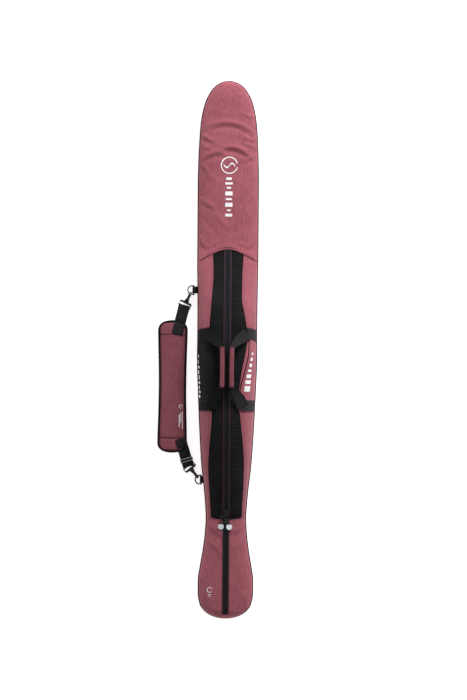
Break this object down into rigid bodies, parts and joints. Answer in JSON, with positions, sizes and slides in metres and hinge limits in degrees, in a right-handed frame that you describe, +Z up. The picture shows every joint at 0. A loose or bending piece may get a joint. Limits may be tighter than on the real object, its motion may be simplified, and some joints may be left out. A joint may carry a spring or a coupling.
{
  "type": "ski bag",
  "caption": "Long padded bag for a slalom water ski, lying flat, with a zipped mesh window over a boot bulge, carry handles and a clip-on padded shoulder strap.",
  "frame": {"origin": "on the resting surface under the bag's long centre line, at half length", "axes": "+Z up out of the zipped face, +Y towards the nose, shoulder strap on the -X side"},
  "size_m": [0.3275, 1.7679, 0.212],
  "materials": {
    "maroon": "heather weave",
    "pad_cloth": "heather weave",
    "grip_cloth": "heather weave",
    "foam": "closed-cell",
    "lining": "plain weave",
    "webbing": "ribbed webbing",
    "binding": "ribbed tape",
    "mesh": "open mesh",
    "zip_tape": "woven tape",
    "zip_coil": "satin",
    "black_plastic": "satin",
    "pale_plastic": "satin",
    "steel": "satin",
    "painted": "satin"
  },
  "bodies": {
    "bag": {"back_panel": "maroon", "back_foam": "foam", "inner_lining": "lining", "nose_cover": "maroon", "nose_foam": "foam", "side_panel_left": "maroon", "side_panel_right": "maroon", "side_foam_left": "foam", "side_foam_right": "foam", "piping": "binding", "band_upper_left": "webbing", "band_upper_right": "webbing", "band_lower_left": "webbing", "band_lower_right": "webbing", "mesh_end_nose": "mesh", "mesh_end_waist": "mesh", "zip_stub_nose": "zip_tape", "zip_stub_waist": "zip_tape", "tail_tape_left": "zip_tape", "tail_tape_right": "zip_tape", "tail_coil_left": "zip_coil", "tail_coil_right": "zip_coil", "zip_stops": "steel", "d_ring_tab_upper": "webbing", "d_ring_tab_lower": "webbing"},
    "flap_left": {"mesh_left": "mesh", "zip_tape_left": "zip_tape", "zip_coil_left": "zip_coil"},
    "flap_right": {"mesh_right": "mesh", "zip_tape_right": "zip_tape", "zip_coil_right": "zip_coil"},
    "handle_left": {"handle_web_left": "webbing", "handle_grip_left": "grip_cloth"},
    "handle_right": {"handle_web_right": "webbing", "handle_grip_right": "grip_cloth"},
    "slider_nose": {"slider_nose": "painted"},
    "pull_nose": {"pull_stem_nose": "black_plastic", "pull_disc_nose": "pale_plastic"},
    "slider_tail": {"slider_tail": "painted"},
    "pull_tail": {"pull_stem_tail": "black_plastic", "pull_disc_tail": "pale_plastic"},
    "strap": {"hook_loop_upper": "black_plastic", "hook_loop_lower": "black_plastic", "strap_web_upper": "webbing", "strap_web_lower": "webbing", "strap_adjuster": "steel", "pad_face": "pad_cloth", "pad_foam": "foam", "pad_back": "pad_cloth", "pad_binding": "binding"},
    "d_ring_upper": {"d_ring_upper": "steel"},
    "d_ring_lower": {"d_ring_lower": "steel"},
    "hook_upper": {"snap_hook_upper": "black_plastic"},
    "hook_lower": {"snap_hook_lower": "black_plastic"},
    "gate_upper": {"hook_gate_upper": "black_plastic"},
    "gate_lower": {"hook_gate_lower": "black_plastic"}
  },
  "joints": [
    {"name": "slider_nose_travel", "type": "hinge", "parent": "bag", "child": "slider_nose", "pos_m": [0, -0.112, -0.792], "axis": [-1, 0, 0], "range_deg": [0, 51.67]},
    {"name": "pull_nose_lift", "type": "hinge", "parent": "slider_nose", "child": "pull_nose", "pos_m": [0, -0.534, 0.08239], "axis": [-1, 0, 0], "range_deg": [0, 150]},
    {"name": "slider_tail_travel", "type": "slide", "parent": "bag", "child": "slider_tail", "axis": [0, -1, 0], "range_m": [0, 0.285]},
    {"name": "pull_tail_lift", "type": "hinge", "parent": "slider_tail", "child": "pull_tail", "pos_m": [0, -0.559, 0.0729], "axis": [-1, 0, 0], "range_deg": [0, 100]},
    {"name": "flap_left_open", "type": "hinge", "parent": "bag", "child": "flap_left", "pos_m": [-0.078, 0, 0.062], "axis": [0, -1, 0], "range_deg": [0, 30]},
    {"name": "flap_right_open", "type": "hinge", "parent": "bag", "child": "flap_right", "pos_m": [0.078, 0, 0.062], "axis": [0, 1, 0], "range_deg": [0, 30]},
    {"name": "handle_left_swing", "type": "hinge", "parent": "flap_left", "child": "handle_left", "pos_m": [-0.057, 0.044, 0.16532], "axis": [0.0612, -0.9972, 0.0437], "range_deg": [0, 90]},
    {"name": "handle_right_swing", "type": "hinge", "parent": "flap_right", "child": "handle_right", "pos_m": [0.057, 0.044, 0.16532], "axis": [0.0612, 0.9972, -0.0437], "range_deg": [0, 90]},
    {"name": "strap_lift", "type": "hinge", "parent": "bag", "child": "strap", "pos_m": [-0.111, 0.195, 0.026], "axis": [-0.0466, 0.9989, 0], "range_deg": [0, 70]},
    {"name": "d_ring_upper_turn", "type": "hinge", "parent": "bag", "child": "d_ring_upper", "pos_m": [-0.111, 0.195, 0.026], "axis": [-0.0466, 0.9989, 0], "range_deg": [0, 70]},
    {"name": "d_ring_lower_turn", "type": "hinge", "parent": "bag", "child": "d_ring_lower", "pos_m": [-0.082, -0.427, 0.026], "axis": [-0.0466, 0.9989, 0], "range_deg": [0, 70]},
    {"name": "hook_upper_swivel", "type": "hinge", "parent": "strap", "child": "hook_upper", "pos_m": [-0.12284, 0.18193, 0.026], "axis": [-0.4112, -0.831, -0.3746], "range_deg": [-15, 15]},
    {"name": "hook_lower_swivel", "type": "hinge", "parent": "strap", "child": "hook_lower", "pos_m": [-0.09667, -0.41629, 0.026], "axis": [-0.595, 0.7111, -0.3746], "range_deg": [-15, 15]},
    {"name": "gate_upper_press", "type": "hinge", "parent": "hook_upper", "child": "gate_upper", "pos_m": [-0.13146, 0.1645, 0.02742], "axis": [-0.8963, 0.4435, 0], "range_deg": [0, 30], "stiffness_Nm_per_rad": 0.02, "springref_deg": -5.73},
    {"name": "gate_lower_press", "type": "hinge", "parent": "hook_lower", "child": "gate_lower", "pos_m": [-0.10915, -0.40137, 0.02742], "axis": [0.767, 0.6417, 0], "range_deg": [0, 30], "stiffness_Nm_per_rad": 0.02, "springref_deg": -5.73}
  ],
  "couplings": [
    {"joint": "d_ring_upper_turn", "follows": "strap_lift", "ratio": 1},
    {"joint": "d_ring_lower_turn", "follows": "strap_lift", "ratio": 1}
  ]
}
